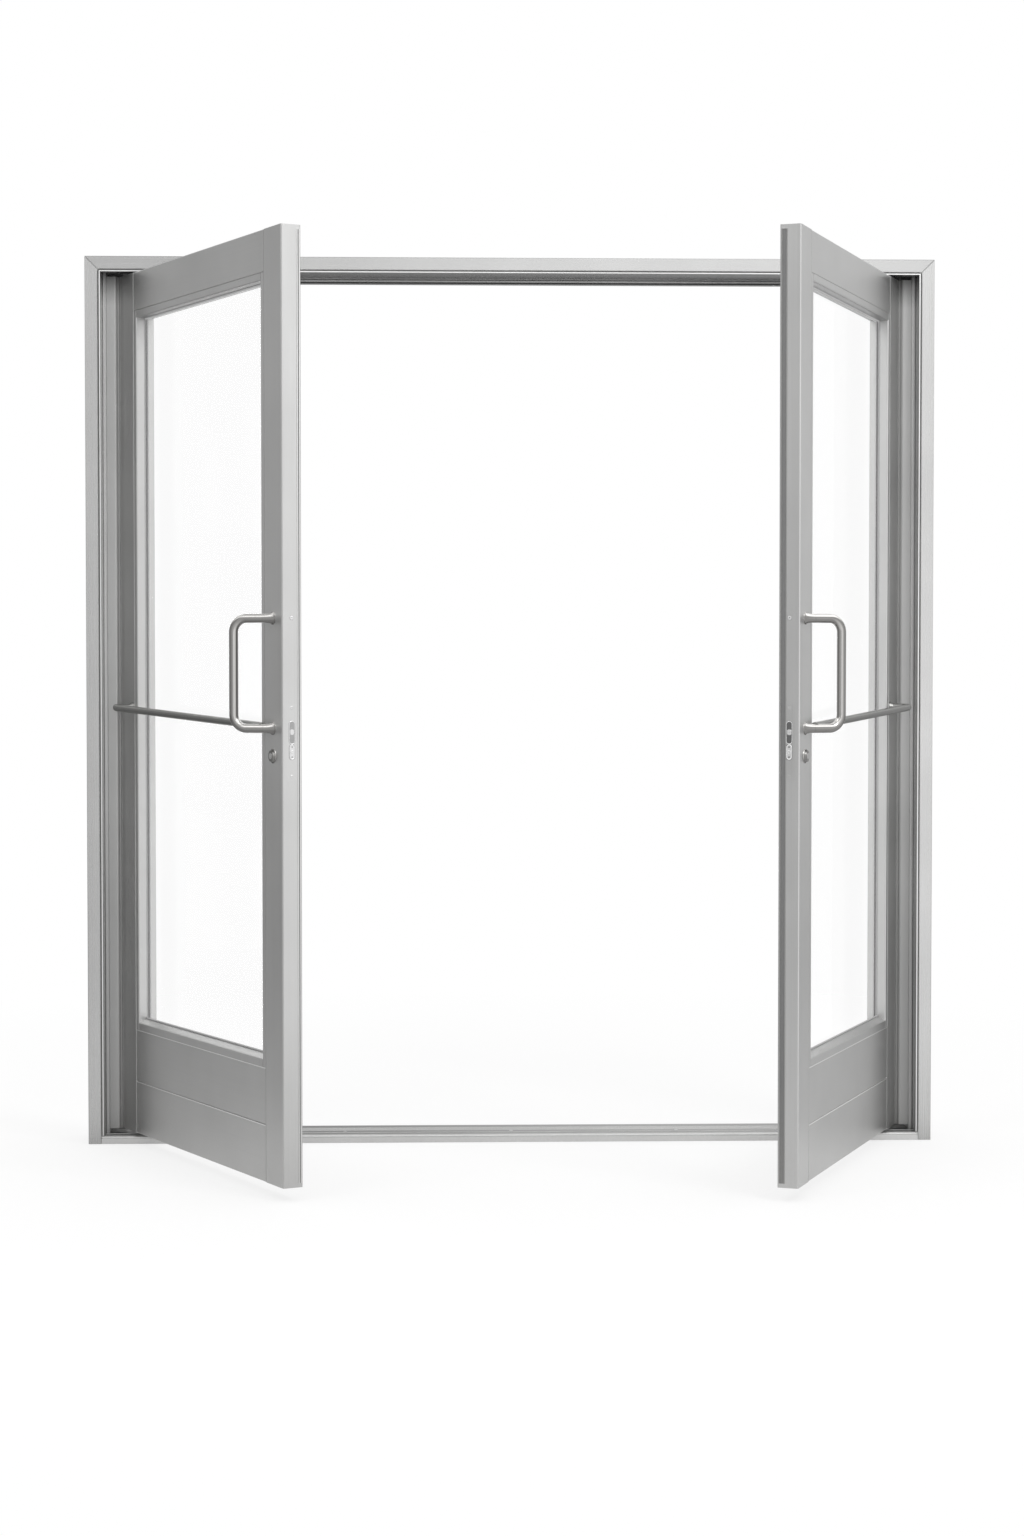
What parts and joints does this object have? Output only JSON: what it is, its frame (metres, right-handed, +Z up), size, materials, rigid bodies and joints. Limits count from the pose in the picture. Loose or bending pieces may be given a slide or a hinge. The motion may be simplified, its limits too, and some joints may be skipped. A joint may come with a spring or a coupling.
{
  "type": "storefront door",
  "caption": "Pair of full-glass aluminium entrance doors hung in a mitred frame with a threshold, each leaf with a tubular pull, a push bar and a lock.",
  "frame": {"origin": "middle of the threshold's underside, at floor level", "axes": "+X across the opening to the viewer's right, +Y from the front of the frame to its back, +Z up; the leaves open towards -Y"},
  "size_m": [1.97, 0.9241, 2.057],
  "materials": {
    "frame_aluminium": "clear anodised, satin",
    "leaf_aluminium": "clear anodised, satin",
    "hinge_aluminium": "clear anodised, satin",
    "threshold_aluminium": "mill finish, fluted",
    "clear_glass": "clear",
    "gasket_rubber": "matte",
    "seal_rubber": "matte",
    "strip_pile": "matte",
    "satin_steel": "satin",
    "bar_steel": "satin",
    "plate_steel": "satin"
  },
  "bodies": {
    "frame": {"head": "frame_aluminium", "head_stop": "frame_aluminium", "head_stop_seal": "seal_rubber", "left_hinge_barrel": "hinge_aluminium", "left_jamb": "frame_aluminium", "left_jamb_liner": "frame_aluminium", "left_side_stop": "frame_aluminium", "left_side_stop_seal": "seal_rubber", "right_hinge_barrel": "hinge_aluminium", "right_jamb": "frame_aluminium", "right_jamb_liner": "frame_aluminium", "right_side_stop": "frame_aluminium", "right_side_stop_seal": "seal_rubber", "threshold": "threshold_aluminium"},
    "left_leaf": {"left_bottom_rail_lower": "leaf_aluminium", "left_bottom_rail_upper": "leaf_aluminium", "left_glass": "clear_glass", "left_glazing_gaskets": "gasket_rubber", "left_hinge_shaft": "hinge_aluminium", "left_hinge_stile": "leaf_aluminium", "left_inner_glazing_stops": "leaf_aluminium", "left_inner_lock_cylinder": "satin_steel", "left_lock_face_plate": "plate_steel", "left_lock_stile": "leaf_aluminium", "left_meeting_strip": "strip_pile", "left_outer_glazing_stops": "leaf_aluminium", "left_outer_lock_cylinder": "satin_steel", "left_pull_handle": "satin_steel", "left_push_bar": "bar_steel", "left_top_rail": "leaf_aluminium"},
    "right_leaf": {"right_bottom_rail_lower": "leaf_aluminium", "right_bottom_rail_upper": "leaf_aluminium", "right_glass": "clear_glass", "right_glazing_gaskets": "gasket_rubber", "right_hinge_shaft": "hinge_aluminium", "right_hinge_stile": "leaf_aluminium", "right_inner_glazing_stops": "leaf_aluminium", "right_inner_lock_cylinder": "satin_steel", "right_lock_face_plate": "plate_steel", "right_lock_stile": "leaf_aluminium", "right_meeting_strip": "strip_pile", "right_outer_glazing_stops": "leaf_aluminium", "right_outer_lock_cylinder": "satin_steel", "right_pull_handle": "satin_steel", "right_push_bar": "bar_steel", "right_top_rail": "leaf_aluminium"}
  },
  "joints": [
    {"name": "left_hinge", "type": "hinge", "parent": "frame", "child": "left_leaf", "pos_m": [-0.922, -0.00985, 1], "axis": [0, 0, -1], "range_deg": [-63, 27]},
    {"name": "right_hinge", "type": "hinge", "parent": "frame", "child": "right_leaf", "pos_m": [0.922, -0.00985, 1], "axis": [0, 0, 1], "range_deg": [-68, 22]}
  ]
}
